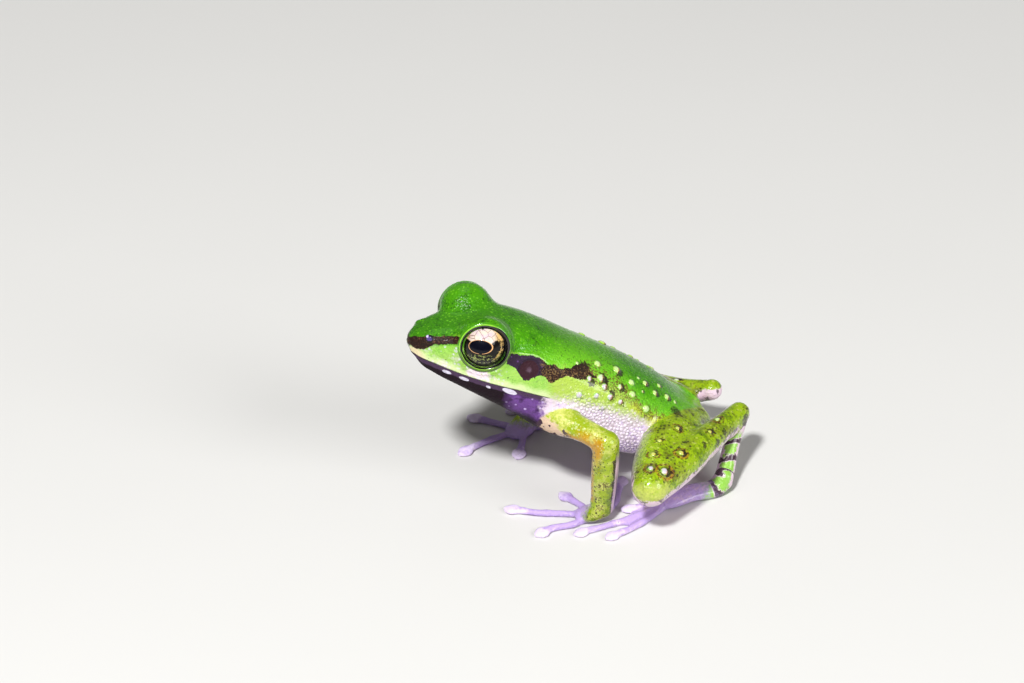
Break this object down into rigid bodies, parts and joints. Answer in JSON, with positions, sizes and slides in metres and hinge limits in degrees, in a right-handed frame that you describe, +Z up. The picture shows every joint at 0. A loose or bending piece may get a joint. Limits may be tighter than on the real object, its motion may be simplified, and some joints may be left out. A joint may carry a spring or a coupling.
{
  "type": "sitting green stream frog, still life-size model",
  "caption": "Life-size still model of a slender green stream frog sitting with head raised, dark eye stripe, large eyes, slim disc-tipped fingers and folded hind legs",
  "frame": {"origin": "on the floor, under the middle of the model's box", "axes": "+Z up, the frog faces -X, its left side is -Y"},
  "size_m": [0.043, 0.037, 0.0264],
  "materials": {
    "skin_green": "moist, finely granular skin, vivid green above with a yellow-green side",
    "skin_dark": "moist dark purple-brown skin of the throat and ear drum",
    "skin_limb": "moist yellow-green skin with dark speckles and small warts",
    "skin_pale": "moist lavender-pink skin of fingers, toes and their discs",
    "eye": "clear glossy eye with cream and gold iris and a dark level pupil"
  },
  "bodies": {
    "root": {"head": "skin_green", "lower_jaw": "skin_dark", "torso": "skin_green", "eye_left": "eye", "tympanum_left": "skin_dark", "eye_right": "eye", "tympanum_right": "skin_dark", "upper_arm_left": "skin_limb", "forearm_left": "skin_limb", "hand_left": "skin_pale", "upper_arm_right": "skin_limb", "forearm_right": "skin_limb", "hand_right": "skin_pale", "thigh_left": "skin_limb", "shank_left": "skin_limb", "tarsus_left": "skin_limb", "foot_left": "skin_pale", "thigh_right": "skin_limb", "shank_right": "skin_limb", "tarsus_right": "skin_limb", "foot_right": "skin_pale"}
  },
  "joints": []
}
